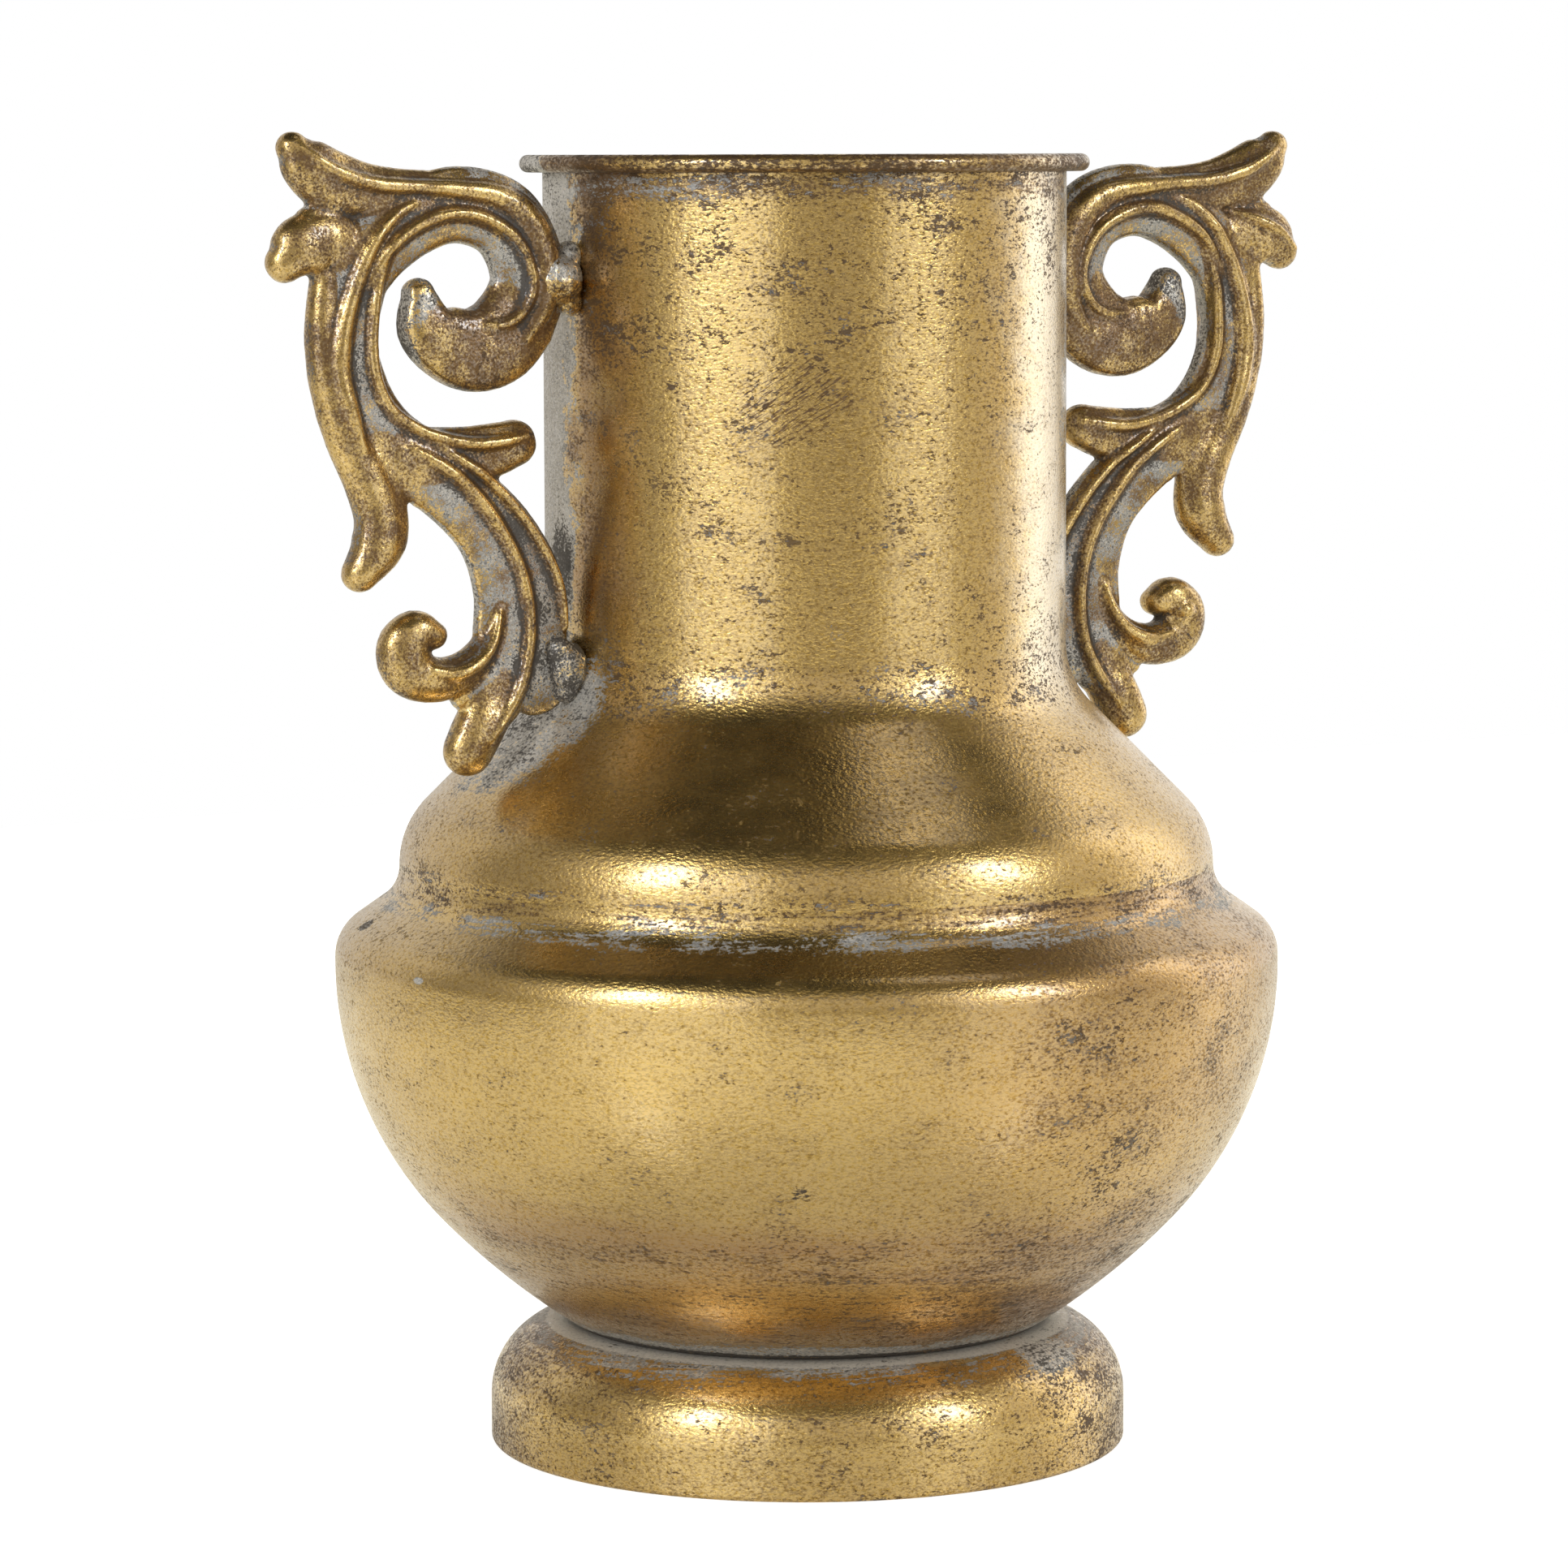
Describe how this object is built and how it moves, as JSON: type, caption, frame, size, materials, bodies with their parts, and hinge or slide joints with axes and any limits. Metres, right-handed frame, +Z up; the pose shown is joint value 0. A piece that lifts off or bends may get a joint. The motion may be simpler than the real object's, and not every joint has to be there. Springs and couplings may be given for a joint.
{
  "type": "urn vase",
  "caption": "Free-standing metal urn vase: round bowl on a ring foot, stepped shoulder, wide straight neck with a rolled rim, and scroll handles; holds stems or a liner.",
  "frame": {"origin": "centre of the ring face that the foot stands on", "axes": "+Z up along the vase's axis, the two handles in the XZ plane"},
  "size_m": [0.316, 0.256, 0.3551],
  "materials": {
    "gilt_sheet": "distressed gold over pale grey primer with a brown patina, satin",
    "gilt_casting": "cast scrolls, gold rubbed on the ridges and grey primer left in the hollows",
    "gilt_weld": "lumpy weld under grey primer and thin gold",
    "bare_weld": "bare dull steel"
  },
  "bodies": {
    "root": {"foot": "gilt_sheet", "foot_tack_welds": "bare_weld", "bowl": "gilt_sheet", "shoulder_seam_weld": "bare_weld", "shoulder": "gilt_sheet", "neck_seam_weld": "gilt_weld", "neck": "gilt_sheet", "rim_wire": "bare_weld", "left_handle": "gilt_casting", "left_upper_weld": "gilt_weld", "left_lower_weld": "gilt_weld", "right_handle": "gilt_casting", "right_upper_weld": "gilt_weld", "right_lower_weld": "gilt_weld"}
  },
  "joints": []
}
